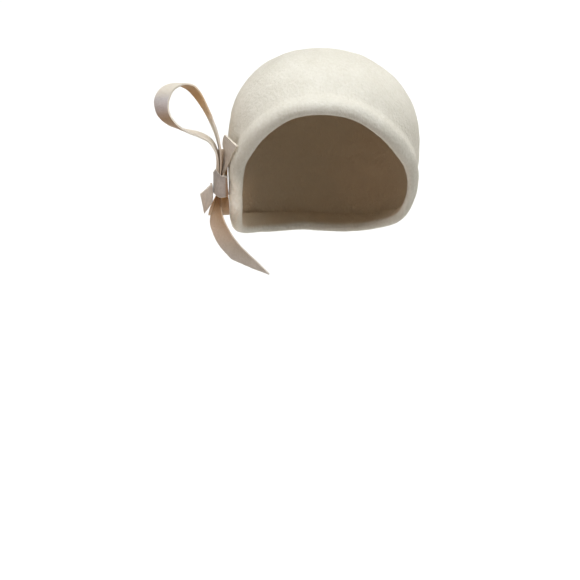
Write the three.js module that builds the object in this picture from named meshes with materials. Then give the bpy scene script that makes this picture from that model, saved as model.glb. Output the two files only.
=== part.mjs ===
// A wool-felt cloche hat: one blocked felt body whose edge rolls inwards all
// round, and a bow of cut felt strips at the wearer's right ear.
//
// Millimetres, +Z up. The wearer faces -Y, so the wearer's left is +X. The
// origin is where the top of the head meets the inside of the crown.

import * as THREE from 'three';
import { LoftGeometry } from 'three/addons/geometries/LoftGeometry.js';

// ---------------------------------------------------------------- sizes

const CREAM = 0xf1ead9;
const CLEARANCE = 0.35; // between pieces that lie on each other

// The felt body follows a rounded block, measured to the middle of the felt.
// Below its widest level the block draws in by a drop of its own on each side.
const FELT = 2.4;
const BLOCK = {
  widestLevel: -82,
  dome: 83.2,
  domePower: 2.12,
  halfWidth: 86.3,
  front: 98.8,
  back: 106.8,
  dropPower: 3,
  dropFront: 120,
  dropBack: 105,
  dropLeft: 93,
  dropRight: 150,
  lean: 3.6, // how far the top leans to the wearer's right
};

// The edge, once round. angle: degrees from the front, + to the wearer's left.
// level: height of the edge. lip: height of the roll's outer face.
// thick: the roll from face to face. ridge: how far it stands off the block.
// valley: how far the felt sinks into the block above the ridge.
const EDGE = [
  { angle: -165, level: -170.5, lip: 9, thick: 10, ridge: 1.4, valley: 0.6 },
  { angle: -135, level: -170.5, lip: 9, thick: 10, ridge: 1.4, valley: 0.6 },
  { angle: -110, level: -168.5, lip: 9, thick: 10, ridge: 1.2, valley: 0.6 },
  { angle: -92, level: -164, lip: 8.5, thick: 10.5, ridge: 1.2, valley: 0.6 },
  { angle: -78, level: -157, lip: 7.8, thick: 11, ridge: 1.6, valley: 0.6 },
  { angle: -69, level: -145, lip: 7.2, thick: 11.5, ridge: 2, valley: 0.6 },
  { angle: -66.5, level: -127.5, lip: 7, thick: 12, ridge: 2.4, valley: 0.7 },
  { angle: -62, level: -109.2, lip: 6.8, thick: 12.2, ridge: 2.5, valley: 0.8 },
  { angle: -49, level: -90.8, lip: 6.4, thick: 12, ridge: 2.4, valley: 1 },
  { angle: -35, level: -73.4, lip: 6.3, thick: 12, ridge: 2.2, valley: 1.2 },
  { angle: -18, level: -58, lip: 6.4, thick: 11.4, ridge: 2, valley: 2 },
  { angle: 0, level: -53.6, lip: 6.5, thick: 12.4, ridge: 2, valley: 2.8 },
  { angle: 18, level: -58.6, lip: 6.6, thick: 11.7, ridge: 2, valley: 2 },
  { angle: 35, level: -75.4, lip: 6.8, thick: 12, ridge: 2.2, valley: 1.2 },
  { angle: 50, level: -92.6, lip: 7.2, thick: 11.8, ridge: 2.4, valley: 0.9 },
  { angle: 63.5, level: -108.6, lip: 7.4, thick: 11, ridge: 2.4, valley: 0.8 },
  { angle: 73, level: -126, lip: 7.4, thick: 9.3, ridge: 2, valley: 0.6 },
  { angle: 77, level: -139, lip: 7.6, thick: 8.5, ridge: 1.4, valley: 0.6 },
  { angle: 82, level: -148.5, lip: 7.8, thick: 8.2, ridge: 1, valley: 0.6 },
  { angle: 91, level: -156, lip: 8, thick: 8.5, ridge: 0.8, valley: 0.6 },
  { angle: 107, level: -161, lip: 8, thick: 9, ridge: 0.8, valley: 0.6 },
  { angle: 130, level: -166, lip: 8.5, thick: 9.5, ridge: 1, valley: 0.6 },
  { angle: 160, level: -171, lip: 9, thick: 10, ridge: 1.4, valley: 0.6 },
];

// Over the ridge the felt falls to a shallow valley and runs out on the block.
// Inside, the turned-in hem runs up the wall.
const VALLEY = { fromRidge: 12, runOut: 30 };
const EASE = { near: 10, far: 40, passes: 12 };
const HEM = { curl: 6, height: 12, lean: 2 };

// How finely the body is drawn.
const AROUND = 72;
const HEM_STEPS = 2;
const CURL_STEPS = 8;
const CROWN_STEPS = 13;

// The bow. Its pieces are placed from the middle of the knot: out from the
// head, to the front and up.
const BOW_FELT = 1.8;
const STRIP_WIDTH = 20;
const KNOT = {
  place: new THREE.Vector3(-93.9, -22, -120.2),
  turn: 8, // degrees that its front swings towards the head
  height: 19.5,
  slant: 0.24, // rise of the band for each millimetre out
  layers: 3,
  wall: 1.8,
  seam: 2.8, // the wall on the head's side, where the band is sewn down
  pinch: 18.4, // room for the width of a strip inside the band
  corner: 2.6,
  around: 60, // places round the band
  forward: 3, // how far the front wall stands forward, at its middle
  aside: 0.36, // how much it turns outwards and
  down: 0.16, // how much it leans, for each millimetre
};

// The front wall's edges, from the head outwards.
const KNOT_EDGES = [
  { out: -7, lower: -8.2, upper: 0 },
  { out: -5.6, lower: -10.4, upper: 5.5 },
  { out: -3.5, lower: -11.2, upper: 8.3 },
  { out: -0.3, lower: -11.9, upper: 8.4 },
  { out: 2.5, lower: -11, upper: 11.2 },
  { out: 5.1, lower: -8.8, upper: 14.6 },
  { out: 6.4, lower: -7.4, upper: 13 },
];

const LAYER = 2.55; // from one strip's middle to the next in the knot

// Each strip is a table of places along its middle line. turn and rise are
// the direction of its width, from rear edge to front edge: turn in degrees
// towards the head, rise in degrees upwards. width is the strip's own.
const LOOP = [
  { out: LAYER, front: 0, up: 0.2, turn: 0, rise: 0, width: 18 },
  { out: LAYER, front: 0, up: 9.5, turn: 0, rise: 0, width: 18 },
  { out: 2, front: 0, up: 18, turn: -2, rise: 0, width: 19 },
  { out: 3, front: -0.5, up: 29, turn: -7, rise: -3, width: 20 },
  { out: 8.2, front: -0.5, up: 38.5, turn: -10, rise: -5, width: 20 },
  { out: 17.8, front: -0.5, up: 44.1, turn: -7, rise: -9, width: 20 },
  { out: 31, front: -1, up: 48.2, turn: 15, rise: -9, width: 20 },
  { out: 42, front: -2, up: 53.5, turn: 24, rise: -2, width: 20 },
  { out: 50.2, front: -3, up: 63, turn: 30, rise: 4, width: 20 },
  { out: 52, front: -3, up: 74.5, turn: 38, rise: 1, width: 20 },
  { out: 47.5, front: -2.5, up: 84.8, turn: 37, rise: 0, width: 20 },
  { out: 37.1, front: -1.5, up: 90, turn: 31, rise: 0, width: 20 },
  { out: 26, front: -0.5, up: 87.2, turn: 20, rise: 5, width: 20 },
  { out: 17.5, front: 0, up: 77.2, turn: 10, rise: 9, width: 20 },
  { out: 9.6, front: 0.5, up: 62.5, turn: 4, rise: 6, width: 20 },
  { out: 2.5, front: 0.3, up: 44.5, turn: 1, rise: 4, width: 20 },
  { out: -0.4, front: 0, up: 31, turn: -2, rise: 3, width: 20 },
  { out: -0.9, front: 0, up: 18, turn: -2, rise: 1, width: 19 },
  { out: 0, front: 0, up: 9.5, turn: 0, rise: 0, width: 18 },
  { out: 0, front: 0, up: 0.2, turn: 0, rise: 0, width: 18 },
];

const UPPER_END = [
  { out: -LAYER, front: 0, up: 0.2, turn: 0, rise: 0, width: 18 },
  { out: -LAYER, front: 0, up: 6, turn: 0, rise: 0, width: 18 },
  { out: -LAYER - 0.1, front: 0, up: 10.5, turn: 0, rise: 0, width: 18 },
  { out: -4.6, front: 4.5, up: 18.5, turn: 4, rise: -18, width: 19 },
  { out: -5.5, front: 12, up: 25.7, turn: 11, rise: -29, width: 19.6 },
  { out: -5.2, front: 19.8, up: 31.6, turn: 22, rise: -34, width: 20 },
  { out: -6.2, front: 26.7, up: 36.9, turn: 30, rise: -34, width: 20 },
  { out: -8, front: 31.9, up: 40.7, turn: 36, rise: -30, width: 19.6 },
];

const LOWER_END = [
  { out: 7.35, front: -6, up: -5.4, turn: -90, rise: 88, width: 12 },
  { out: 7.35, front: 0.5, up: -5.5, turn: -90, rise: 88, width: 12 },
  { out: 7.8, front: 4.8, up: -6.9, turn: -75, rise: 84, width: 13 },
  { out: 9.6, front: 6.2, up: -9.8, turn: -42, rise: 72, width: 16 },
  { out: 16.4, front: 4.6, up: -17.6, turn: -30, rise: 66, width: 20 },
];

const BACK_END = [
  { out: -3.3, front: -15.3, up: 31, turn: 118, rise: 0, width: 10.8 },
  { out: -3.3, front: -15.5, up: 16, turn: 118, rise: 0, width: 11 },
  { out: -3, front: -15.5, up: 0, turn: 118, rise: 0, width: 12 },
  { out: -3, front: -15.3, up: -10.6, turn: 116, rise: 0, width: 12.8 },
  { out: -2.1, front: -14.3, up: -15, turn: 108, rise: 0, width: 15 },
  { out: -0.7, front: -12.8, up: -21.5, turn: 100, rise: 0, width: 18.4 },
  { out: 0.2, front: -11.8, up: -29.2, turn: 96, rise: 0, width: 20 },
];

const TAIL = [
  { out: 0, front: -1.5, up: -0.2, turn: 0, rise: 0, width: 13 },
  { out: 0, front: -2, up: -6, turn: 0, rise: 0, width: 11 },
  { out: 0.6, front: -3, up: -12, turn: 16, rise: 0, width: 9.2 },
  { out: 1.6, front: -2.8, up: -17.4, turn: 28, rise: 3, width: 9.2 },
  { out: 2.3, front: -0.8, up: -22.8, turn: 30, rise: 7, width: 13 },
  { out: 3.1, front: 1.2, up: -28.3, turn: 34, rise: 10, width: 17 },
  { out: 2.4, front: 2.6, up: -34.5, turn: 36, rise: 11, width: 20 },
  { out: 0.1, front: 4, up: -41, turn: 41, rise: 12, width: 20 },
  { out: -3.9, front: 5.4, up: -49.1, turn: 46, rise: 12.5, width: 20 },
  { out: -9.3, front: 6.4, up: -56.7, turn: 50, rise: 12.5, width: 20 },
  { out: -15.6, front: 7.3, up: -63.4, turn: 51, rise: 14, width: 20 },
  { out: -23.4, front: 8.5, up: -71, turn: 48, rise: 18, width: 20 },
  { out: -31.3, front: 10.2, up: -78.8, turn: 41, rise: 25, width: 20 },
  { out: -38.4, front: 12.4, up: -85.9, turn: 34, rise: 33, width: 20 },
];

// ---------------------------------------------------------------- felt body

const { lerp, degToRad, smoothstep } = THREE.MathUtils;
const BLOCK_MIDDLE = new THREE.Vector3(0, 0, BLOCK.widestLevel);

/** The block's own measures on the side that a direction points to. */
function blockSide({ x, y, z }) {
  const reach = y < 0 ? BLOCK.front : BLOCK.back;
  const round = Math.hypot(x / BLOCK.halfWidth, y / reach);
  if (z > 0) return { round, height: BLOCK.dome, power: BLOCK.domePower };
  const side = x > 0 ? BLOCK.dropLeft : BLOCK.dropRight;
  const end = y < 0 ? BLOCK.dropFront : BLOCK.dropBack;
  const height = (x * x * side + y * y * end) / (x * x + y * y);
  return { round, height, power: BLOCK.dropPower };
}

/** The point where a direction from the block's middle meets the block. */
function onBlock(direction) {
  const { round, height, power } = blockSide(direction);
  const fill = round ** power + Math.abs(direction.z / height) ** power;
  const point = direction.clone().multiplyScalar(fill ** (-1 / power));
  point.x -= BLOCK.lean * (Math.max(point.z, 0) / BLOCK.dome) ** 2;
  return point.add(BLOCK_MIDDLE);
}

/** The point of the block at an angle from the front, at a level. */
function blockAt(angle, level) {
  const turn = degToRad(angle);
  const direction = new THREE.Vector3(Math.sin(turn), -Math.cos(turn), level - BLOCK.widestLevel);
  const { round, height, power } = blockSide(direction);
  const spread = (1 - Math.abs(direction.z / height) ** power) ** (1 / power) / round;
  return onBlock(direction.multiply(new THREE.Vector3(spread, spread, 1)));
}

/** The block's outward normal where a direction meets it. */
function blockNormal(direction) {
  const nudge = 0.01;
  const aside = new THREE.Vector3(-direction.y, direction.x, 0).setLength(nudge);
  const along = new THREE.Vector3().crossVectors(direction, aside).setLength(nudge);
  const acrossLine = onBlock(direction.clone().add(aside)).sub(onBlock(direction.clone().sub(aside)));
  const alongLine = onBlock(direction.clone().add(along)).sub(onBlock(direction.clone().sub(along)));
  return acrossLine.cross(alongLine).normalize();
}

/** A line of felt drawn on the block from the edge up to the top. */
class FeltLine extends THREE.Curve {
  constructor(edge, upwards) {
    super();
    const top = new THREE.Vector3(0, 0, BLOCK.dome);
    const pull = 0.42 * edge.distanceTo(top);
    const outwards = new THREE.Vector3(edge.x, edge.y, 0).setLength(pull);
    const leave = upwards.clone().setLength(pull).add(edge);
    this.bend = new THREE.CubicBezierCurve3(edge, leave, outwards.add(top), top);
  }

  direction(t) {
    return this.bend.getPoint(t).normalize();
  }

  getPoint(t, target = new THREE.Vector3()) {
    return target.copy(onBlock(this.direction(t)));
  }
}

/** Evenly spaced places round the edge, each with its way up and its roll. */
function edgePlaces() {
  const points = EDGE.map(({ angle, level }) => blockAt(angle, level));
  const rolls = EDGE.map(({ lip, thick, ridge }) => new THREE.Vector3(lip, thick, ridge));
  const valleys = EDGE.map(({ valley }) => new THREE.Vector3(valley, 0, 0));
  const line = new THREE.CatmullRomCurve3(points, true);
  const sizes = new THREE.CatmullRomCurve3(rolls, true, 'catmullrom');
  const depths = new THREE.CatmullRomCurve3(valleys, true, 'catmullrom');

  return Array.from({ length: AROUND }, (_, i) => {
    const t = line.getUtoTmapping(i / AROUND);
    const direction = line.getPoint(t).sub(BLOCK_MIDDLE);
    const upwards = blockNormal(direction).cross(line.getTangent(t));
    const { x: lip, y: thick, z: ridge } = sizes.getPoint(t);
    const { x: valley } = depths.getPoint(t);
    return { edge: onBlock(direction).sub(BLOCK_MIDDLE), upwards, lip, thick, ridge, valley };
  });
}

/** How far the felt stands off the block, so far above the ridge. */
function relief(above, ridge, valley) {
  const fall = smoothstep(above, 0, VALLEY.fromRidge);
  const rise = smoothstep(above, VALLEY.fromRidge, VALLEY.fromRidge + VALLEY.runOut);
  return lerp(ridge, -valley, fall) + valley * rise;
}

/** The felt's section, hem first: along the line from the edge, and off the block. */
function section(length, { lip, thick, ridge, valley }) {
  const places = [];
  const half = (thick - FELT) / 2;
  const inside = ridge - 2 * half;
  for (let i = HEM_STEPS; i > 0; i--) {
    const share = i / HEM_STEPS;
    places.push({ along: HEM.curl + HEM.height * share, off: inside + HEM.lean * share ** 2 });
  }
  for (let i = 0; i <= CURL_STEPS; i++) {
    const turn = Math.PI * (1 - i / CURL_STEPS);
    const rise = turn > Math.PI / 2 ? HEM.curl : lip;
    places.push({
      along: rise * (1 - Math.sin(turn)),
      off: ridge - half * (1 - Math.cos(turn)),
    });
  }
  for (let i = 1; i < CROWN_STEPS; i++) {
    const above = (length - lip) * (i / CROWN_STEPS) ** 1.3;
    places.push({ along: lip + above, off: relief(above, ridge, valley) });
  }
  return places;
}

/** Eases each line towards the middle of its neighbours, away from the edge, so that none cross. */
function easeLines(lines) {
  for (let pass = 0; pass < EASE.passes; pass++) {
    const before = lines.map((line) => line.map(({ direction }) => direction.clone()));
    lines.forEach((line, column) => line.forEach(({ along, direction }, row) => {
      const next = before[(column + 1) % AROUND][row];
      const last = before[(column + AROUND - 1) % AROUND][row];
      const share = smoothstep(along, EASE.near, EASE.far) / 2;
      direction.lerp(next.clone().lerp(last, 0.5), share);
    }));
  }
}

/** The middle of the felt, as rings from the turned-in hem to the top. */
function feltRings() {
  const lines = edgePlaces().map((place) => {
    const line = new FeltLine(place.edge, place.upwards);
    const length = line.getLength();
    return section(length, place).map(({ along, off }) => {
      const direction = line.direction(line.getUtoTmapping(along / length));
      return { along, off, direction };
    });
  });
  easeLines(lines);
  const rings = lines[0].map((_, row) => lines.map((line) => {
    const { off, direction } = line[row];
    direction.normalize();
    return onBlock(direction).addScaledVector(blockNormal(direction), off);
  }));
  const top = onBlock(new THREE.Vector3(0, 0, 1));
  rings.push(lines.map(() => top.clone()));
  return rings;
}

/** The unit direction from the inner face to the outer face at one place. */
function feltNormal(rings, row, column) {
  if (row === rings.length - 1) return new THREE.Vector3(0, 0, 1);
  const ring = rings[row];
  const next = ring[(column + 1) % AROUND];
  const last = ring[(column + AROUND - 1) % AROUND];
  const above = rings[row + 1][column];
  const below = rings[Math.max(row - 1, 0)][column];
  return next.clone().sub(last).cross(above.clone().sub(below)).normalize();
}

/** Both faces of the felt, joined across the hem's cut edge. */
function bodyGeometry() {
  const rings = feltRings();
  const face = (side) => rings.map((ring, row) => ring.map((point, column) => (
    point.clone().addScaledVector(feltNormal(rings, row, column), side * FELT / 2))));
  return new LoftGeometry([...face(-1).reverse(), ...face(1)], { closed: true });
}

// ---------------------------------------------------------------- bow

/** The direction of a strip's width, from its rear edge to its front edge. */
function widthDirection(turn, rise) {
  const level = Math.cos(degToRad(rise));
  return new THREE.Vector3(
    -Math.sin(degToRad(turn)) * level,
    Math.cos(degToRad(turn)) * level,
    Math.sin(degToRad(rise)),
  );
}

/**
 * A felt strip along a table of places. endCut is how far the front edge runs
 * past the rear edge at the far end, for each millimetre of width.
 */
function stripGeometry(rows, steps, endCut = 0) {
  const middle = new THREE.CatmullRomCurve3(rows.map((r) => new THREE.Vector3(r.out, r.front, r.up)));
  const lay = new THREE.CatmullRomCurve3(
    rows.map((r) => new THREE.Vector3(r.turn, r.rise, r.width)), false, 'catmullrom');
  const spare = Math.abs(endCut) * STRIP_WIDTH / 2 / middle.getLength();

  const sections = [];
  for (let i = 0; i <= steps; i++) {
    const upper = [];
    const lower = [];
    for (const side of [-1, 1]) {
      const end = 1 - spare + side * Math.sign(endCut) * spare;
      const t = middle.getUtoTmapping(end * i / steps);
      const { x: turn, y: rise, z: width } = lay.getPoint(t);
      const along = middle.getTangent(t);
      const across = widthDirection(turn, rise);
      const through = along.cross(across).normalize();
      const point = middle.getPoint(t).addScaledVector(across, side * width / 2);
      upper.unshift(point.clone().addScaledVector(through, BOW_FELT / 2));
      lower.push(point.addScaledVector(through, -BOW_FELT / 2));
    }
    sections.push([...upper, ...lower]);
  }
  return new LoftGeometry(sections, { closed: true, capStart: true, capEnd: true });
}

/** A rounded rectangle from one level of x to another, about the x axis, evenly spaced. */
function roundedRectangle(Kind, from, to, depth, corner) {
  const [left, right, y] = [from + corner, to - corner, depth / 2 - corner];
  const quarter = Math.PI / 2;
  const outline = new Kind()
    .absarc(right, y, corner, 0, quarter)
    .absarc(left, y, corner, quarter, 2 * quarter)
    .absarc(left, -y, corner, 2 * quarter, 3 * quarter)
    .absarc(right, -y, corner, 3 * quarter, 4 * quarter)
    .closePath();
  return new Kind(outline.getSpacedPoints(KNOT.around).slice(0, -1));
}

/** A level of the front wall's edge at a place out from the head. */
function edgeLevel(out, key) {
  const rows = KNOT_EDGES;
  if (out <= rows[0].out) return rows[0][key];
  const next = rows.find((row) => row.out > out);
  if (!next) return rows[rows.length - 1][key];
  const last = rows[rows.indexOf(next) - 1];
  return lerp(last[key], next[key], (out - last.out) / (next.out - last.out));
}

/**
 * The band of felt round the strips, as a short slanted tube. Its front wall
 * turns outwards and down, and its edges follow the table there.
 */
function knotGeometry() {
  const { wall, seam, corner } = KNOT;
  const side = KNOT.layers * LAYER / 2 + CLEARANCE;
  const depth = KNOT.pinch + 2 * CLEARANCE;
  const band = roundedRectangle(THREE.Shape, -side - seam, side + wall, depth + 2 * wall, corner);
  band.holes.push(roundedRectangle(THREE.Path, -side, side, depth, corner - wall));
  const tube = new THREE.ExtrudeGeometry(band, {
    depth: KNOT.height, steps: 6, bevelEnabled: false, curveSegments: 1,
  });
  tube.translate(0, 0, -KNOT.height / 2);
  const places = tube.getAttribute('position');
  for (let i = 0; i < places.count; i++) {
    const { x: out, y: front, z: level } = new THREE.Vector3().fromBufferAttribute(places, i);
    const forward = smoothstep(front, 1, 10);
    const share = level / KNOT.height + 0.5;
    const shaped = lerp(edgeLevel(out, 'lower'), edgeLevel(out, 'upper'), share);
    const lean = KNOT.forward - KNOT.aside * out + KNOT.down * level;
    places.setY(i, front + forward * lean);
    places.setZ(i, lerp(level + KNOT.slant * out, shaped, forward));
  }
  return tube;
}

// ---------------------------------------------------------------- assembly

/** A named piece of cream felt. */
function feltPiece(name, geometry) {
  const felt = new THREE.MeshStandardMaterial({ color: CREAM, roughness: 0.95, metalness: 0 });
  const piece = new THREE.Mesh(geometry, felt);
  piece.name = name;
  return piece;
}

const bow = new THREE.Group();
bow.add(
  feltPiece('bow_loop', stripGeometry(LOOP, 48)),
  feltPiece('bow_knot', knotGeometry()),
  feltPiece('bow_upper_end', stripGeometry(UPPER_END, 16)),
  feltPiece('bow_lower_end', stripGeometry(LOWER_END, 16)),
  feltPiece('bow_back_end', stripGeometry(BACK_END, 20)),
  feltPiece('bow_tail', stripGeometry(TAIL, 30, 1.45)),
);
bow.position.copy(KNOT.place);
bow.rotation.z = Math.PI + degToRad(KNOT.turn);

const hat = new THREE.Group();
hat.add(feltPiece('crown', bodyGeometry()), bow);

export default hat;
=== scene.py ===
"""A cloche hat of cream wool felt with a bow of cut felt strips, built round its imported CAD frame.

The felt body follows a rounded block and its edge rolls inwards all round. Each strip of the bow is a
thin rounded section carried along a smooth middle line, and a band holds them at the knot.
+Z is up, -Y is the wearer's front and +X the wearer's left. Tables are in millimetres.
"""

import math

import bpy
import numpy as np
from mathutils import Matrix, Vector


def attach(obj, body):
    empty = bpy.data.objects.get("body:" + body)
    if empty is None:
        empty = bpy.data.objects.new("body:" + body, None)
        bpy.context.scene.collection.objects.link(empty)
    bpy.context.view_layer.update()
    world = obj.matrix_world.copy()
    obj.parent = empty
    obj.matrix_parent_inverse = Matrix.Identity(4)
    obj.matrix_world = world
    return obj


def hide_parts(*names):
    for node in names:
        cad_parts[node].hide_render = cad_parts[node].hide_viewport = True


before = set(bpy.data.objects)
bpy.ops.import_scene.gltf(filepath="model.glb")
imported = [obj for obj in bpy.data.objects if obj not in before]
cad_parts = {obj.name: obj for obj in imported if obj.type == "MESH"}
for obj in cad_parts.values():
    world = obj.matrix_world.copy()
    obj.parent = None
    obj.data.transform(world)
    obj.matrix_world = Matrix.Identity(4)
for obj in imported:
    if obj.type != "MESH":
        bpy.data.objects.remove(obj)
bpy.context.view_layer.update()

bl_info = {
    "name": "Felt cloche hat",
    "version": (1, 0, 0),
    "blender": (4, 5, 0),
    "location": "View3D > Sidebar > Hat",
    "description": "Builds a wool-felt cloche hat with a looped felt bow, and its plain studio",
    "category": "Object",
}

MM = 0.001

# ---------------------------------------------------------------- sizes of the felt body

# The block that the felt is shaped on, to the middle of the felt. Below its widest level it draws in
# by a drop of its own on each side, and its top leans a little to the wearer's right.
BLOCK = {
    "widest_level": -82.0,
    "dome": 83.2,
    "dome_power": 2.12,
    "half_width": 86.3,
    "front": 98.8,
    "back": 106.8,
    "drop_power": 3.0,
    "drop_front": 120.0,
    "drop_back": 105.0,
    "drop_left": 93.0,
    "drop_right": 150.0,
    "lean": 3.6,
}
BLOCK_MIDDLE = np.array([0.0, 0.0, BLOCK["widest_level"]])

# The edge, once round. Angle in degrees from the front, + to the wearer's left; level of the edge;
# height of the roll's outer face; the roll from face to face; how far it stands off the block; how
# far the valley above it sinks.
EDGE = np.array([
    (-165, -170.5, 9.0, 10.0, 1.4, 0.6),
    (-135, -170.5, 9.0, 10.0, 1.4, 0.6),
    (-110, -168.5, 9.0, 10.0, 1.2, 0.6),
    (-92, -164.0, 8.5, 10.5, 1.2, 0.6),
    (-78, -157.0, 7.8, 11.0, 1.6, 0.6),
    (-69, -145.0, 7.2, 11.5, 2.0, 0.6),
    (-66.5, -127.5, 7.0, 12.0, 2.4, 0.7),
    (-62, -109.2, 6.8, 12.8, 2.5, 0.8),
    (-49, -90.8, 6.4, 14.0, 2.4, 1.3),
    (-35, -73.4, 6.3, 14.6, 2.2, 2.1),
    (-18, -58.0, 6.4, 14.8, 2.0, 2.8),
    (0, -53.6, 6.5, 14.8, 2.0, 3.1),
    (18, -58.6, 6.6, 14.6, 2.0, 2.8),
    (35, -75.4, 6.8, 14.0, 2.2, 2.1),
    (50, -92.6, 7.2, 12.8, 2.4, 1.0),
    (63.5, -108.6, 7.4, 11.0, 2.4, 0.8),
    (73, -126.0, 7.4, 9.3, 2.0, 0.6),
    (77, -139.0, 7.6, 8.5, 1.4, 0.6),
    (82, -148.5, 7.8, 8.2, 1.0, 0.6),
    (91, -156.0, 8.0, 8.5, 0.8, 0.6),
    (107, -161.0, 8.0, 9.0, 0.8, 0.6),
    (130, -166.0, 8.5, 9.5, 1.0, 0.6),
    (160, -171.0, 9.0, 10.0, 1.4, 0.6),
])

# Over the ridge the felt falls to a shallow valley and runs out on the block; inside, the turned-in
# hem runs up the wall.
VALLEY = {"from_ridge": 12.0, "run_out": 30.0}
HEM = {"curl": 6.0, "height": 12.0, "lean": 2.0}

# The lines of felt from the edge to the top. pull is how far a line keeps its way at each end, as a
# share of its reach, and crowding draws its places together near the edge. Neighbouring lines are
# eased apart in many passes, each by a share that grows from nothing over the stretch in ease_over.
LINES = {"pull": 0.42, "crowding": 1.12, "ease_over": (10.0, 40.0), "ease_share": 0.5, "ease_passes": 200}

# Rings of places on the turned-in hem, on the roll and on the crown.
RINGS = {"hem": 7, "roll": 22, "crown": 84}

# Soft dents left by the hand: depth, seed, shortest wave and longest wave.
BODY_DENTS = ((0.35, 3, 24, 70), (0.12, 5, 9, 20))

# The hem's cut edge is rounded through these turns in degrees, by a share of half the felt, and the
# painted shade inside the hat fades out over a share of the roll.
HEM_CUT = {"turns": (-60, -30, 0, 30, 60), "share": 0.8}
INSIDE_FADE = 0.25

# ---------------------------------------------------------------- sizes of the bow

# The bow's pieces are placed from the middle of the knot: out from the head, to the front and up.
KNOT_PLACE = np.array([-93.9, -22.0, -120.2])
BOW_TURN = math.radians(188.0)
STRIP_WIDTH = 20.0
LAYER = 2.55

# Places along each strip's middle line: out, front, up; then the way of its width, as degrees
# turned towards the head and degrees risen; then its width.
LOOP = np.array([
    (LAYER, 0, 0.2, 0, 0, 18),
    (LAYER, 0, 9.5, 0, 0, 18),
    (2.0, 0, 18, -2, 0, 19),
    (3.0, -0.5, 29, -7, -3, 20),
    (8.2, -0.5, 38.5, -10, -5, 20),
    (17.8, -0.5, 44.1, -7, -9, 20),
    (31, -1, 48.2, 15, -9, 20),
    (42, -2, 53.5, 24, -2, 20),
    (50.2, -3, 63, 30, 4, 20),
    (52, -3, 74.5, 38, 1, 20),
    (47.5, -2.5, 84.8, 37, 0, 20),
    (37.1, -1.5, 90, 31, 0, 20),
    (26, -0.5, 87.2, 20, 5, 20),
    (17.5, 0, 77.2, 10, 9, 20),
    (9.6, 0.5, 62.5, 4, 6, 20),
    (2.5, 0.3, 44.5, 1, 4, 20),
    (-0.4, 0, 31, -2, 3, 20),
    (-0.9, 0, 18, -2, 1, 19),
    (0, 0, 9.5, 0, 0, 18),
    (0, 0, 0.2, 0, 0, 18),
])
UPPER_END = np.array([
    (-LAYER, 0, 0.2, 0, 0, 18),
    (-LAYER, 0, 6, 0, 0, 18),
    (-LAYER - 0.1, 0, 10.5, 0, 0, 18),
    (-4.6, 4.5, 18.5, 4, -18, 19),
    (-5.5, 12, 25.7, 11, -29, 19.6),
    (-5.2, 19.8, 31.6, 22, -34, 20),
    (-6.2, 26.7, 36.9, 30, -34, 20),
    (-8, 31.9, 40.7, 36, -30, 19.6),
])
LOWER_END = np.array([
    (7.35, -6, -5.4, -90, 88, 12),
    (7.35, 0.5, -5.5, -90, 88, 12),
    (7.8, 4.8, -6.9, -75, 84, 13),
    (9.6, 6.2, -9.8, -42, 72, 16),
    (16.4, 4.6, -17.6, -30, 66, 20),
])
BACK_END = np.array([
    (-3.3, -15.3, 31, 118, 0, 10.8),
    (-3.3, -15.5, 16, 118, 0, 11),
    (-3, -15.5, 0, 118, 0, 12),
    (-3, -15.3, -10.6, 116, 0, 12.8),
    (-2.1, -14.3, -15, 108, 0, 15),
    (-0.7, -12.8, -21.5, 100, 0, 18.4),
    (0.2, -11.8, -29.2, 96, 0, 20),
])
TAIL = np.array([
    (0, -1.5, -0.2, 0, 0, 13),
    (0, -2, -6, 0, 0, 11),
    (0.6, -3, -12, 16, 0, 9.2),
    (1.6, -2.8, -17.4, 28, 3, 9.2),
    (2.3, -0.8, -22.8, 30, 7, 13),
    (3.1, 1.2, -28.3, 34, 10, 17),
    (2.4, 2.6, -34.5, 36, 11, 20),
    (0.1, 4, -41, 41, 12, 20),
    (-3.9, 5.4, -49.1, 46, 12.5, 20),
    (-9.3, 6.4, -56.7, 50, 12.5, 20),
    (-15.6, 7.3, -63.4, 51, 14, 20),
    (-23.4, 8.5, -71, 48, 18, 20),
    (-31.3, 10.2, -78.8, 41, 25, 20),
    (-38.4, 12.4, -85.9, 34, 33, 20),
])
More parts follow.
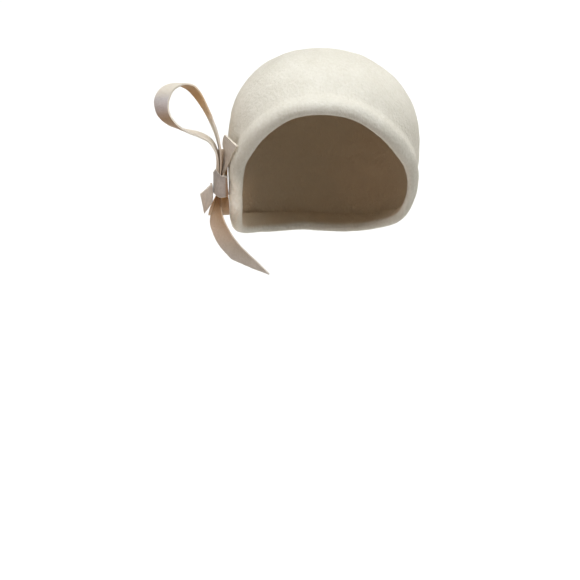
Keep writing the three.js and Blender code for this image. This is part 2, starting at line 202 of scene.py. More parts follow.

# Painted light and shade along each strip, as shares from 0 to 1: the share of the length; then the
# painted warm bounce light, the painted shade deep in the folds and the painted pale light on the
# face that lies inside the loop or to the left; then the same three for the other face.
TINTS = {
    "loop_strip": (
        (0, 0.5, 0.5, 0, 0.4, 0.4, 0),
        (0.13, 0.3, 0.2, 0.3, 0.3, 0.15, 0.2),
        (0.17, 0, 0, 1, 0, 0, 1),
        (0.33, 0, 0, 1, 0.5, 0.3, 0),
        (0.37, 0.3, 0, 0.3, 0.6, 0.45, 0),
        (0.41, 0.3, 0, 0.1, 0.2, 0.15, 0),
        (0.45, 0.3, 0, 0, 0, 0, 0.2),
        (0.49, 0.3, 0, 0, 0, 0, 0.9),
        (0.55, 0.6, 0.1, 0, 0.1, 0, 0.7),
        (0.64, 0.95, 0.25, 0, 0.9, 0, 0),
        (0.72, 0.7, 0, 0, 0.7, 0, 0),
        (0.78, 0, 0, 0.8, 0.2, 0, 0.6),
        (0.86, 0.2, 0, 0.3, 0.4, 0, 0),
        (0.92, 0.4, 0.3, 0, 0.4, 0.3, 0),
        (1, 0.5, 0.5, 0, 0.5, 0.5, 0),
    ),
    "upper_end_strip": (
        (0, 0.6, 0.3, 0, 0.4, 0.4, 0),
        (0.45, 0.4, 0.05, 0, 0.15, 0.15, 0),
        (1, 0.3, 0.05, 0, 0.1, 0.06, 0),
    ),
    "lower_end_strip": (
        (0, 0.3, 0, 0, 0.3, 0.3, 0),
        (0.6, 0.2, 0.25, 0, 0, 0.25, 0),
        (1, 0.2, 0.25, 0, 0, 0.25, 0),
    ),
    "back_end_strip": (
        (0, 0.3, 0.2, 0, 0, 0, 0),
        (0.2, 0.5, 0.7, 0, 0, 0, 0),
        (0.6, 0.7, 0.9, 0, 0.1, 0, 0),
        (0.74, 0.8, 0, 0, 0.1, 0, 0),
        (1, 0.45, 0, 0.4, 0, 0, 0),
    ),
    "tail_strip": (
        (0, 0.7, 0.9, 0, 0.5, 0.5, 0),
        (0.15, 0.8, 1, 0, 0.5, 0.4, 0),
        (0.24, 0.7, 0.75, 0, 0.4, 0.2, 0),
        (0.34, 0.5, 0.45, 0, 0.3, 0.1, 0),
        (0.5, 0.3, 0.2, 0, 0.2, 0, 0),
        (1, 0.05, 0, 0, 0.1, 0, 0),
    ),
}

# How pale the knife-cut edges are along each strip, partly fresh-cut felt and partly painted light and shade
# that changes along it: the share of the length, then the paleness.
EDGES = {
    "loop_strip": ((0, 0.5), (0.2, 1), (0.5, 0.9), (0.57, 0.6), (0.63, 0.15), (0.85, 0.2), (1, 0.5)),
    "upper_end_strip": ((0, 0.5), (0.5, 0.6), (1, 1)),
    "lower_end_strip": ((0, 0.5), (1, 0.8)),
    "back_end_strip": ((0, 0), (0.7, 0), (1, 0.5)),
    "tail_strip": ((0, 0.3), (0.3, 0.25), (0.6, 0.15), (1, 0.1)),
}

# Where the loop turns in the shade its felt looks cooler: the share of the length, then how cool.
COOL = {"loop_strip": ((0.36, 0), (0.41, 0.8), (0.45, 0.7), (0.485, 0))}
NOT_COOL = ((0, 0),)

# The strips: the node each stands for, its line, how far its far end is sheared for each millimetre
# of its width, and how it is held.
STRIPS = {
    "loop_strip": ("bow_loop", LOOP, 0.0, "folded"),
    "upper_end_strip": ("bow_upper_end", UPPER_END, 0.0, "folded"),
    "lower_end_strip": ("bow_lower_end", LOWER_END, 0.0, "folded"),
    "back_end_strip": ("bow_back_end", BACK_END, 0.0, "hung"),
    "tail_strip": ("bow_tail", TAIL, 1.45, "hung"),
}

# A strip's rounded corners and ends, how deep it is cupped and which share of that depth lies below
# its own level, the step from section to section, and the places across each of its faces.
STRIP = {"corner": 0.45, "end": 0.4, "cup": 0.35, "cup_level": 0.4, "step": 1.3, "places": 15}

# How a hand-cut strip and the knot waver: depth, first seed, shortest wave and longest wave.
STRIP_WAVER = ((0.12, 0, 9, 30), (0.05, 5, 2.2, 5))
KNOT_WAVER = ((0.15, 40, 6, 16),)

# A cut edge reaches in over this share of its rounded corner. Close to the knot it loses a share of
# its paleness as painted shade, which comes back over the stretch in reach.
EDGE_OF_CORNER = 0.65
NEAR_KNOT = {"share": 0.7, "reach": (16, 42)}

# The knot's band. In plan it is a rounded rectangle, given by its half width outwards, its half width
# to the front and its middle, each at its upper edge and then by how much more at its lower edge.
# It rises outwards by its tilt. Its front wall, reached over the stretch in front, stands forward by
# a distance that changes with the place outwards and with the level.
KNOT = {
    "felt": 1.8,
    "corner": 0.5,
    "places": 13,
    "tall": 19.5,
    "plan_power": 5,
    "half_out": (4.9, 0.7),
    "half_front": (10.45, 0.25),
    "middle": (-0.3, -0.45),
    "tilt": 0.24,
    "front": (1, 10),
    "forward": (3.0, -0.36, 0.16),
}

# The knot's front wall, from the head outwards: place, level of its lower edge and of its upper one.
KNOT_EDGES = np.array([
    (-7.0, -8.2, 0.0),
    (-5.6, -10.4, 5.5),
    (-3.5, -11.2, 8.3),
    (-0.3, -11.9, 8.4),
    (2.5, -11.0, 11.2),
    (5.1, -8.8, 14.6),
    (6.4, -7.4, 13.0),
])

# How pale the knot's edges are, partly fresh-cut felt and partly painted light, and how strong the
# painted shade is on its side against the head, which grows over the stretch in deep_over, from the
# knot's middle towards the head.
KNOT_TINTS = {"pale_edge_and_painted_light": 0.7, "deep": 0.8, "deep_over": (2.6, 5.2)}

# ---------------------------------------------------------------- sizes of the felt's patterns

# Clouds of uneven dye, and grains of brushed nap that lie slanted and drawn out. A wool fibre is
# about 0.02 mm thick, too fine to show, so fibres are drawn as tufts of half a millimetre. The
# floor's paint is mottled by the roller.
CLOUD_MM = 26
GRAIN_MM = 1.7
FIBRE_MM = 0.55
GRAIN_SLANT = math.radians(32)
GRAIN_STRETCH = (1.0, 0.5, 0.32)
MOTTLE_MM = 60

# How much each pattern adds to the tone and to the relief, and the tones between which the shade
# between the pebbles turns to the lit colour.
TONE = {"clouds": 0.35, "pebbles": 0.35, "grains": 0.38}
RELIEF = {"pebbles": 1.0, "grains": 0.8, "fibres": 0.3}
TONE_SPAN = (0.40, 0.67)

# ---------------------------------------------------------------- sizes of the studio, in metres

HAT_MIDDLE = (0.0, 0.0, -0.09)
WALL_MIDDLE = (0.0, 4.0, -0.2)
WALL_FOOT = (0.0, 4.0, -1.3)

# Square lights: place, side, power as a share of the key light's setting, colour and aim.
LIGHTS = {
    "key": ((0.0, -0.75, 0.75), 0.6, 0.92, "#f8fbff", HAT_MIDDLE),
    "overhead": ((0.0, 0.05, 1.0), 0.7, 0.3, "#fffdf6", HAT_MIDDLE),
    "side_left": ((-1.1, -0.35, 0.1), 0.6, 0.14, "#fff6ec", HAT_MIDDLE),
    "side_right": ((1.1, -0.35, 0.1), 0.6, 0.17, "#fffaf2", HAT_MIDDLE),
    "back_right": ((0.8, 0.9, 0.5), 0.6, 0.31, "#ffffff", HAT_MIDDLE),
    "low_left": ((-0.7, -0.45, -0.75), 0.5, 0.05, "#ffb277", HAT_MIDDLE),
    "backdrop": ((0.0, 1.2, 1.6), 1.2, 8.4, "#ffffff", WALL_MIDDLE),
    "backdrop_low": ((0.0, 1.4, 0.9), 0.8, 2.4, "#ffffff", WALL_FOOT),
}

# A small warm spot under the knot: its lamp's place and radius, and the place and radius it lights.
SPOT = {
    "place": (-0.04, -0.76, -0.22),
    "lamp": 0.03,
    "target": (-0.0935, -0.012, -0.1405),
    "radius": 0.0095,
    "share": 4.5,
    "colour": "#ffc896",
}
AIR = {"colour": "#fff9f2", "strength": 0.03}

# The camera looks down by its pitch and is turned a little aside, in degrees; lens and sensor in mm.
CAMERA = {"place": (0.0007, -1.4991, -0.03155), "pitch": 7.15, "turn": 1.2, "lens": 101.17, "sensor": 36.0}

# ---------------------------------------------------------------- curves and fields


def spline(points, t, closed=False, chordal=True):
    """A Catmull-Rom curve through the points, at each t from 0 to 1.

    Each stretch is the cubic that meets its two points with the slopes that their neighbours give.
    With chordal, the slopes allow for uneven spacing by the square root of each distance."""
    count = len(points)
    if closed:
        padded = np.concatenate([points[-1:], points, points[:2]])
        place = np.asarray(t) * count
        at = np.minimum(place.astype(int), count - 1)
    else:
        padded = np.concatenate([[2 * points[0] - points[1]], points, [2 * points[-1] - points[-2]]])
        place = np.asarray(t) * (count - 1)
        at = np.minimum(place.astype(int), count - 2)
    w = (place - at)[..., None]
    p0, p1, p2, p3 = (padded[at + k] for k in range(4))
    if chordal:
        d0, d1, d2 = (
            np.maximum(np.linalg.norm(b - a, axis=-1, keepdims=True) ** 0.5, 1e-4)
            for a, b in ((p0, p1), (p1, p2), (p2, p3))
        )
        m1 = ((p1 - p0) / d0 - (p2 - p0) / (d0 + d1) + (p2 - p1) / d1) * d1
        m2 = ((p2 - p1) / d1 - (p3 - p1) / (d1 + d2) + (p3 - p2) / d2) * d1
    else:
        m1, m2 = (p2 - p0) / 2, (p3 - p1) / 2
    return p1 + w * m1 + w**2 * (3 * (p2 - p1) - 2 * m1 - m2) + w**3 * (2 * (p1 - p2) + m1 + m2)


def lengths_along(line):
    """Running length along the last-but-one axis of an array of points, starting at 0."""
    steps = np.linalg.norm(np.diff(line, axis=-2), axis=-1)
    return np.concatenate([np.zeros_like(steps[..., :1]), np.cumsum(steps, axis=-1)], axis=-1)


def unit(v):
    """Each vector over its own length."""
    return v / np.maximum(np.linalg.norm(v, axis=-1, keepdims=True), 1e-12)


def smooth(x, low, high):
    """3x² - 2x³ of how far x lies from low to high."""
    x = np.clip((x - low) / (high - low), 0, 1)
    return x * x * (3 - 2 * x)


def waver(points, seed, shortest, longest, waves=28):
    """A smooth random field of about -1 to 1: the mean of plane sine waves with random directions and
    phases, and wavelengths between the two given, in the points' own unit."""
    rng = np.random.default_rng(seed)
    way = unit(rng.normal(size=(waves, 3)))
    size = np.exp(rng.uniform(math.log(shortest), math.log(longest), waves))
    phase = rng.uniform(0, 2 * math.pi, waves)
    total = sum(
        np.sin(points @ (2 * math.pi * w / s) + p) for w, s, p in zip(way, size, phase)
    )
    usual_peak = 1.6
    return total * math.sqrt(2 / waves) / usual_peak


def hand_made(points, seed, table):
    """The points moved along all three axes by a smooth random field for each row of the table."""
    moved = points
    for depth, first, *waves in table:
        field = [waver(points, seed + first + axis, *waves) for axis in range(3)]
        moved = moved + depth * np.stack(field, axis=-1)
    return moved


# ---------------------------------------------------------------- the block and the felt on it


def block_sides(v):
    """The block's own round, height and power on the side that each direction points to."""
    x, y, z = v[..., 0], v[..., 1], v[..., 2]
    b = BLOCK
    around = np.hypot(x / b["half_width"], y / np.where(y < 0, b["front"], b["back"]))
    side = np.where(x > 0, b["drop_left"], b["drop_right"])
    end = np.where(y < 0, b["drop_front"], b["drop_back"])
    drop = (x * x * side + y * y * end) / np.maximum(x * x + y * y, 1e-12)
    up = z > 0
    return around, np.where(up, b["dome"], drop), np.where(up, b["dome_power"], b["drop_power"])


def on_block(v):
    """Where a direction from the block's middle meets it: the oval distance to a power plus the
    height to that power is 1, and the top is shifted sideways by the square of its height."""
    around, height, power = block_sides(v)
    fill = around**power + np.abs(v[..., 2] / height) ** power
    point = v * (fill ** (-1 / power))[..., None]
    point[..., 0] -= BLOCK["lean"] * (np.maximum(point[..., 2], 0) / BLOCK["dome"]) ** 2
    return point + BLOCK_MIDDLE


def block_at(angle, level):
    """The block's point at each angle from the front, at each level."""
    turn = np.radians(angle)
    v = np.stack([np.sin(turn), -np.cos(turn), level - BLOCK["widest_level"]], axis=-1)
    around, height, power = block_sides(v)
    spread = (1 - np.abs(v[..., 2] / height) ** power) ** (1 / power) / around
    v[..., :2] *= spread[..., None]
    return on_block(v)


def block_normal(v):
    """The block's outward normal where each direction meets it, across two short chords."""
    short = 0.01
    aside = unit(np.stack([-v[..., 1], v[..., 0] + 1e-9, 0 * v[..., 0]], axis=-1)) * short
    along = unit(np.cross(v, aside)) * short
    chords = [on_block(v + way) - on_block(v - way) for way in (aside, along)]
    return unit(np.cross(*chords))


def edge_places(columns, samples=2401):
    """Evenly spaced places round the edge, from the block's middle, with the way up and the roll."""
    points = block_at(EDGE[:, 0], EDGE[:, 1])
    t = np.linspace(0, 1, samples)
    run = lengths_along(spline(points, t, closed=True))
    even = np.interp(np.arange(columns) / columns * run[-1], run, t)
    step = 1e-4
    direction = spline(points, even, closed=True) - BLOCK_MIDDLE
    tangent = unit(
        spline(points, (even + step) % 1, closed=True) - spline(points, (even - step) % 1, closed=True)
    )
    upwards = np.cross(block_normal(direction), tangent)
    rolls = spline(EDGE[:, 2:], even, closed=True, chordal=False)
    return on_block(direction) - BLOCK_MIDDLE, upwards, rolls


def felt_lines(edge, upwards, samples=260):
    """Lines of felt from the edge to the top: a cubic Bezier leaves the edge square and comes over the
    top level, and each of its points is carried out to the block. Gives directions and lengths."""
    top = np.array([0.0, 0.0, BLOCK["dome"]])
    pull = LINES["pull"] * np.linalg.norm(edge - top, axis=-1, keepdims=True)
    outwards = unit(edge * [1, 1, 0]) * pull
    t = np.linspace(0, 1, samples)[:, None, None]
    bend = (
        (1 - t) ** 3 * edge
        + 3 * (1 - t) ** 2 * t * (edge + upwards * pull)
        + 3 * (1 - t) * t**2 * (top + outwards)
        + t**3 * top
    )
    direction = unit(bend).transpose(1, 0, 2)
    return direction, lengths_along(on_block(direction))


def section(length, rolls, thick):
    """The felt's section, hem first: how far along the line from the edge, and how far off the block.
    The hem climbs the wall, the roll is half an ellipse each side of the edge, and above the ridge
    the felt falls to the valley and runs out on the block."""
    lip, roll, ridge, depth = rolls.T
    half = (roll - thick) / 2

    share = (np.arange(RINGS["hem"], 0, -1) / RINGS["hem"])[:, None]
    hem_along = HEM["curl"] + HEM["height"] * share + 0 * lip
    hem_off = ridge - 2 * half + HEM["lean"] * share**2

    turn = np.pi * (1 - np.arange(RINGS["roll"] + 1) / RINGS["roll"])[:, None]
    rise = np.where(turn > np.pi / 2, HEM["curl"], lip)
    curl_along = rise * (1 - np.sin(turn))
    curl_off = ridge - half * (1 - np.cos(turn))

    share = (np.arange(1, RINGS["crown"]) / RINGS["crown"])[:, None]
    above = (length - lip) * share ** LINES["crowding"]
    fall = smooth(above, 0, VALLEY["from_ridge"])
    climb = smooth(above, VALLEY["from_ridge"], VALLEY["from_ridge"] + VALLEY["run_out"])
    crown_off = ridge - (depth + ridge) * fall + depth * climb
    along = np.concatenate([hem_along, curl_along, lip + above])
    return along, np.concatenate([hem_off, curl_off, crown_off])


def interpolate(where, known, values):
    """Each column's values at its own places where, between its own known places."""
    at = (known[:, None, :] <= where[:, :, None]).sum(axis=2)
    at = np.clip(at, 1, known.shape[1] - 1)
    column = np.arange(len(known))[:, None]
    low, high = known[column, at - 1], known[column, at]
    share = ((where - low) / np.maximum(high - low, 1e-9))[..., None]
    return values[column, at - 1] * (1 - share) + values[column, at] * share


def felt_rings(thick, columns):
    """The middle of the felt, as rings from the turned-in hem up to just below the top. Away from the
    edge each line is eased again and again towards the middle of its neighbours, so that none cross."""
    edge, upwards, rolls = edge_places(columns)
    direction, run = felt_lines(edge, upwards)
    along, off = section(run[:, -1], rolls, thick)
    way = unit(interpolate(along.T, run, direction))
    share = LINES["ease_share"] * smooth(along.T, *LINES["ease_over"])[..., None]
    for _ in range(LINES["ease_passes"]):
        way = way + share * ((np.roll(way, 1, axis=0) + np.roll(way, -1, axis=0)) / 2 - way)
    way = unit(way)
    middle = on_block(way)
    dents = sum(depth * waver(middle, *field) for depth, *field in BODY_DENTS)
    point = middle + block_normal(way) * (off.T + dents)[..., None]
    return point.transpose(1, 0, 2)


def grid_normals(rings):
    """The unit normal at each place of a grid of rings that closes round: across times up."""
    across = np.roll(rings, -1, axis=1) - np.roll(rings, 1, axis=1)
    up = np.empty_like(rings)
    up[1:-1] = rings[2:] - rings[:-2]
    up[0], up[-1] = rings[1] - rings[0], rings[-1] - rings[-2]
    return unit(np.cross(across, up))


def felt_body(thick, columns):
    """Both faces of the felt as one closed grid from the inner top, down, round the hem's cut edge
    and up to the outer top. Each face is the middle moved half the felt along its normal. Gives the
    grid, its two poles and a mask for the painted shade inside the hat, 1 inside and fading out over
    the roll."""
    rings = felt_rings(thick, columns)
    normal = grid_normals(rings)
    half = thick / 2
    inner, outer = rings - normal * half, rings + normal * half
    down = unit(rings[0] - rings[1])
    turn = np.radians(HEM_CUT["turns"])[:, None, None]
    cut = rings[0] + (np.sin(turn) * normal[0] + HEM_CUT["share"] * np.cos(turn) * down) * half
    grid = np.concatenate([inner[::-1], cut, outer])
    top = on_block(np.array([[0.0, 0.0, 1.0]]))[0]
    fade_end = RINGS["hem"] + INSIDE_FADE * RINGS["roll"]
    outside = smooth(np.arange(len(outer)), RINGS["hem"], fade_end)
    inside = np.concatenate([np.ones(len(inner) + len(cut)), 1 - outside])
    mask = np.append(np.repeat(inside, columns), [1, 0])
    return grid, (top - [0, 0, half], top + [0, 0, half]), mask


# ---------------------------------------------------------------- the bow


def strip_section(thick, corner, places):
    """A strip's cut section, once round: places across as a share of the half width, how far in from
    the edge in millimetres, and the height. The corners are quarter circles."""
    turn = np.radians([0, 22.5, 45, 67.5, 90])
    in_from_edge = corner * (1 - np.sin(turn))
    height = thick / 2 - corner * (1 - np.cos(turn))
    flat = np.linspace(-1, 1, places)[1:-1]
    share = np.concatenate([[-1] * len(turn), flat, [1] * len(turn)])
    inset = np.concatenate([in_from_edge[::-1], 0 * flat, in_from_edge])
    rise = np.concatenate([height[::-1], 0 * flat + thick / 2, height])
    return (
        np.concatenate([share, share[::-1]]),
        np.concatenate([inset, inset[::-1]]),
        np.concatenate([rise, -rise[::-1]]),
    )


def cut_mask(share, inset):
    """1 on a section's cut edges and 0 on its faces."""
    return ((np.abs(share) == 1) & (inset < EDGE_OF_CORNER * inset.max())).astype(float)


def read_off(table, along, column=1):
    """A table's column at each share of the length, straight between its rows."""
    table = np.array(table)
    return np.interp(along, table[:, 0], table[:, column])[:, None]


def strip_rings(length):
    """Where a strip's sections lie along it, and how far each is drawn in, so that its two ends are
    rounded by quarter circles."""
    quarter = np.radians([0, 30, 60, 90])
    end = STRIP["end"]
    tip, tuck = end * np.sin(quarter), end * (1 - np.cos(quarter))
    between = np.linspace(2 * end, length - 2 * end, int(length / STRIP["step"]))
    places = np.concatenate([tip, between, length - tip[::-1]])
    return places, np.concatenate([tuck[::-1], 0 * between, tuck])


def strip(line, thick, shear, tints, edges, cool, seed, samples=1200):
    """A felt strip: its section is carried along the smooth line through the table's places, with its
    width along the table's turn and rise, cupped by the square of the way across. One side of its far
    end keeps the whole length and the other loses the shear times the width. Gives the points, and
    masks for the painted light and shade on its two faces, the paleness of its cut edges, which is
    partly painted light and shade, and its painted cool shade."""
    t = np.linspace(0, 1, samples)
    middle, lay = spline(line[:, :3], t), spline(line[:, 3:], t, chordal=False)
    run = lengths_along(middle)
    length = run[-1]
    turn, rise = np.radians(lay[:, 0]), np.radians(lay[:, 1])
    width_way = np.stack(
        [-np.sin(turn) * np.cos(rise), np.cos(turn) * np.cos(rise), np.sin(rise)], axis=-1
    )
    tangent = unit(np.gradient(middle, axis=0))
    through = unit(np.cross(tangent, width_way))
    facts = np.concatenate([middle, width_way, through, lay[:, 2:3]], axis=1)

    share, inset, height = strip_section(thick, STRIP["corner"], STRIP["places"])
    rings, shrink = strip_rings(length)
    shrink = shrink[:, None]
    spare = abs(shear) * STRIP_WIDTH / 2
    reach = 1 - (spare - np.sign(shear) * share * spare) / length
    where = rings[:, None] * reach[None, :]
    place = np.stack([np.interp(where, run, fact) for fact in facts.T], axis=-1)
    p, across, out, width = place[..., 0:3], unit(place[..., 3:6]), unit(place[..., 6:9]), place[..., 9]
    aside = share * (width / 2 - shrink) - np.sign(share) * inset
    lift = height * (1 - shrink / (thick / 2)) + STRIP["cup"] * (share**2 - STRIP["cup_level"])
    p = p + across * aside[..., None] + out * lift[..., None]

    along = rings / length
    masks = {}
    # Each face gets painted warm bounce light, painted shade in the folds and painted pale light.
    for near, name in enumerate(("painted_warm_bounce", "deep", "pale_edge_and_painted_light"), start=1):
        masks[name] = np.where(height > 0, read_off(tints, along, near), read_off(tints, along, near + 3))
    masks["cool"] = read_off(cool, along) + 0 * height
    edge = np.where(shrink > 0, 1, cut_mask(share, inset))
    # Close to the knot the cut edges lose paleness as painted shade.
    at_knot = 1 - smooth(np.linalg.norm(p, axis=-1), *NEAR_KNOT["reach"])
    edge = edge * (1 - NEAR_KNOT["share"] * at_knot) * read_off(edges, along)
    masks["pale_edge_and_painted_light"] = np.maximum(edge, masks["pale_edge_and_painted_light"] * (1 - edge))
    return hand_made(p, seed, STRIP_WAVER), masks


def knot_band(around=120):
    """The band round the strips: a rounded rectangle in plan, by a superellipse that is narrower at the
    top, carried round with the band's own rounded section. Its front wall turns outwards and down, and
    its edges follow the table there. Gives the points and masks for its pale edges, partly painted
    light, and the painted shade on its side against the head."""
    phi = np.linspace(0, 2 * np.pi, around, endpoint=False)[None, :]
    share, inset, height = strip_section(KNOT["felt"], KNOT["corner"], KNOT["places"])
    tall = KNOT["tall"]
    v = (share * tall / 2 - np.sign(share) * inset)[:, None]
    low = smooth(-v, -tall / 2, tall / 2)
    half_out, half_front, middle = (
        KNOT[name][0] + KNOT[name][1] * low for name in ("half_out", "half_front", "middle")
    )
    c, s = (np.sign(wave) * np.abs(wave) ** (2 / KNOT["plan_power"]) for wave in (np.cos(phi), np.sin(phi)))
    plan = np.stack([middle + half_out * c, half_front * s, v + 0 * c], axis=-1)
    tangent = unit(np.roll(plan, -1, axis=1) - np.roll(plan, 1, axis=1))
    normal = np.stack([tangent[..., 1], -tangent[..., 0], 0 * tangent[..., 0]], axis=-1)
    p = plan + normal * height[:, None, None]
    out = p[..., 0].copy()
    in_front = smooth(p[..., 1], *KNOT["front"])
    lower, upper = (np.interp(out, KNOT_EDGES[:, 0], KNOT_EDGES[:, k]) for k in (1, 2))
    shaped = lower + (upper - lower) * (v + tall / 2) / tall
    plain = v + KNOT["tilt"] * out
    p[..., 2] = plain + (shaped - plain) * in_front
    base, by_out, by_level = KNOT["forward"]
    p[..., 1] += in_front * (base + by_out * out + by_level * v)
    # The knot's edges are pale, partly as painted light, and its side against the head gets painted shade.
    masks = {
        "pale_edge_and_painted_light": KNOT_TINTS["pale_edge_and_painted_light"] * np.tile(cut_mask(share, inset)[:, None], (1, around)),
        "deep": KNOT_TINTS["deep"] * smooth(-out, *KNOT_TINTS["deep_over"]),
    }
    return hand_made(p, 0, KNOT_WAVER), masks


def bow_to_hat(p):
    """Places from the middle of the knot, as places on the hat."""
    c, s = math.cos(BOW_TURN), math.sin(BOW_TURN)
    return p @ np.array([[c, s, 0], [-s, c, 0], [0, 0, 1]]) + KNOT_PLACE


# ---------------------------------------------------------------- meshes


def grid_mesh(name, points, masks, ring=False, poles=None, caps=False):
    """A mesh of quads over a grid that closes round its columns, with its masks as attributes. ring
    closes its rows too, poles are two points that close it at both ends with fans, and caps closes
    each end with one face."""
    rows, columns = points.shape[:2]
    index = np.arange(rows * columns).reshape(rows, columns)
    lower = index if ring else index[:-1]
    upper = np.roll(index, -1, axis=0) if ring else index[1:]
    lower_right, upper_right = np.roll(lower, -1, axis=-1), np.roll(upper, -1, axis=-1)
    quads = np.stack([lower, lower_right, upper_right, upper], axis=-1).reshape(-1, 4)
    vertices = points.reshape(-1, 3) * MM
    loops, sizes = [quads.ravel()], [np.full(len(quads), 4)]
    if poles is not None:
        first, last = rows * columns, rows * columns + 1
        vertices = np.concatenate([vertices, np.array(poles) * MM])
        under = np.stack([np.roll(index[0], -1), index[0], np.full(columns, first)], axis=-1)
        over = np.stack([index[-1], np.roll(index[-1], -1), np.full(columns, last)], axis=-1)
        loops += [under.ravel(), over.ravel()]
        sizes += [np.full(2 * columns, 3)]
    if caps:
        loops += [index[0][::-1], index[-1]]
        sizes += [np.array([columns, columns])]
    loops, sizes = np.concatenate(loops), np.concatenate(sizes)
    mesh = bpy.data.meshes.new(name)
    mesh.vertices.add(len(vertices))
    mesh.vertices.foreach_set("co", vertices.astype(np.float32).ravel())
    mesh.loops.add(len(loops))
    mesh.loops.foreach_set("vertex_index", loops.astype(np.int32))
    mesh.polygons.add(len(sizes))
    starts = np.concatenate([[0], np.cumsum(sizes)[:-1]])
    mesh.polygons.foreach_set("loop_start", starts.astype(np.int32))
    mesh.polygons.foreach_set("use_smooth", np.ones(len(sizes), bool))
    mesh.update(calc_edges=True)
    mesh.validate()
    for attribute, values in masks.items():
        made = mesh.attributes.new(attribute, "FLOAT", "POINT")
        made.data.foreach_set("value", values.ravel().astype(np.float32))
    return mesh


def add_piece(name, mesh, material, nodes):
    """Puts a finished piece in the scene, riding on the hat in place of its CAD nodes."""
    piece = bpy.data.objects.new(name, mesh)
    bpy.context.scene.collection.objects.link(piece)
    mesh.materials.append(material)
    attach(piece, "root")
    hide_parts(*nodes)
    return piece


# ---------------------------------------------------------------- materials


def linear(hex_colour):
    """An sRGB hex colour as linear red, green, blue and alpha."""
    value = np.array([int(hex_colour[i : i + 2], 16) for i in (1, 3, 5)]) / 255
    low, high = value / 12.92, ((value + 0.055) / 1.055) ** 2.4
    return (*np.where(value <= 0.04045, low, high), 1.0)


def add_node(tree, kind, sockets=None, **settings):
    """Adds a node with its settings; each socket takes a value or a link from another socket."""
    made = tree.nodes.new(kind)
    for name, value in settings.items():
        setattr(made, name, value)
    for name, value in (sockets or {}).items():
        if isinstance(value, bpy.types.NodeSocket):
            tree.links.new(value, made.inputs[name])
        else:
            made.inputs[name].default_value = value
    return made


def per_metre(size_mm):
    """The texture scale that makes one feature about size_mm wide."""
    return 1000.0 / size_mm


def blank_material(name):
    """A material, its emptied tree and the Object coordinates that its patterns read."""
    material = bpy.data.materials.new(name)
    material.use_nodes = True
    tree = material.node_tree
    tree.nodes.clear()
    return material, tree, add_node(tree, "ShaderNodeTexCoord").outputs["Object"]


def wool_felt(name, colour, shade, pebble_mm, relief_mm, tints):
    """Wool felt, wetted, pressed and steamed on a block: a matt mat of fine fibres with a soft halo.

    It gives the eye a dead-matt cream with soft pebbles, fine slanting grains where the nap was
    brushed, and a slightly paler nap where it grazes. The tints, laid by each piece's masks, are
    painted light and shade: the paler knife-cut edge of a strip is partly fresh-cut felt and partly
    painted light, and faces get painted warm bounce light, painted shade in the folds and inside the
    hat, painted cool shade and painted pale light."""
    material, tree, place = blank_material(name)
    brushed = add_node(
        tree, "ShaderNodeMapping",
        {"Vector": place, "Rotation": (0.0, GRAIN_SLANT, 0.0), "Scale": GRAIN_STRETCH},
    ).outputs["Vector"]
    patterns = {}
    for pattern, vector, size_mm, detail, roughness, distortion in (
        ("clouds", place, CLOUD_MM, 3.0, 0.55, 0.0),
        ("pebbles", place, pebble_mm, 2.0, 0.5, 0.0),
        ("grains", brushed, GRAIN_MM, 2.5, 0.6, 0.0),
        ("fibres", place, FIBRE_MM, 3.0, 0.7, 0.6),
    ):
        noise = add_node(
            tree, "ShaderNodeTexNoise",
            {
                "Vector": vector, "Scale": per_metre(size_mm), "Detail": detail,
                "Roughness": roughness, "Distortion": distortion,
            },
        )
        patterns[pattern] = noise.outputs["Fac"]
    # Tone and relief each add up shares of the patterns.
    sums = []
    for shares in (TONE, RELIEF):
        total = 0.0
        for pattern, share in shares.items():
            added = add_node(
                tree, "ShaderNodeMath",
                {0: patterns[pattern], 1: share, 2: total}, operation="MULTIPLY_ADD",
            )
            total = added.outputs[0]
        sums.append(total)
    tone, relief = sums
    spread = add_node(
        tree, "ShaderNodeMapRange", {"Value": tone, "From Min": TONE_SPAN[0], "From Max": TONE_SPAN[1]},
    )
    base = add_node(
        tree, "ShaderNodeMix",
        {"Factor": spread.outputs[0], "A": linear(shade), "B": linear(colour)}, data_type="RGBA",
    ).outputs["Result"]
    for attribute, tint in tints.items():
        share = add_node(tree, "ShaderNodeAttribute", attribute_name=attribute).outputs["Fac"]
        base = add_node(
            tree, "ShaderNodeMix", {"Factor": share, "A": base, "B": linear(tint)}, data_type="RGBA",
        ).outputs["Result"]
    bump = add_node(
        tree, "ShaderNodeBump", {"Height": relief, "Strength": 0.7, "Distance": relief_mm * MM},
    )
    shader = add_node(
        tree, "ShaderNodeBsdfPrincipled",
        {
            "Base Color": base, "Normal": bump.outputs["Normal"],
            "Roughness": 0.95, "IOR": 1.45, "Specular IOR Level": 0.18,
            "Sheen Weight": 0.22, "Sheen Roughness": 0.55, "Sheen Tint": linear("#fff8ea"),
        },
    )
    add_node(tree, "ShaderNodeOutputMaterial", {"Surface": shader.outputs["BSDF"]})
    return material


def floor_paint(name, colour):
    """Matt emulsion on a plain board: an even pale tone with the faintest roller mottle."""
    material, tree, place = blank_material(name)
    mottle = add_node(
        tree, "ShaderNodeTexNoise", {"Vector": place, "Scale": per_metre(MOTTLE_MM), "Detail": 2.0},
    )
    mix = add_node(
        tree, "ShaderNodeMix",
        {"Factor": mottle.outputs["Fac"], "A": linear(colour), "B": linear("#ffffff")}, data_type="RGBA",
    )
    shader = add_node(
        tree, "ShaderNodeBsdfPrincipled", {"Base Color": mix.outputs["Result"], "Roughness": 0.9},
    )
    add_node(tree, "ShaderNodeOutputMaterial", {"Surface": shader.outputs["BSDF"]})
    return material


# ---------------------------------------------------------------- the studio


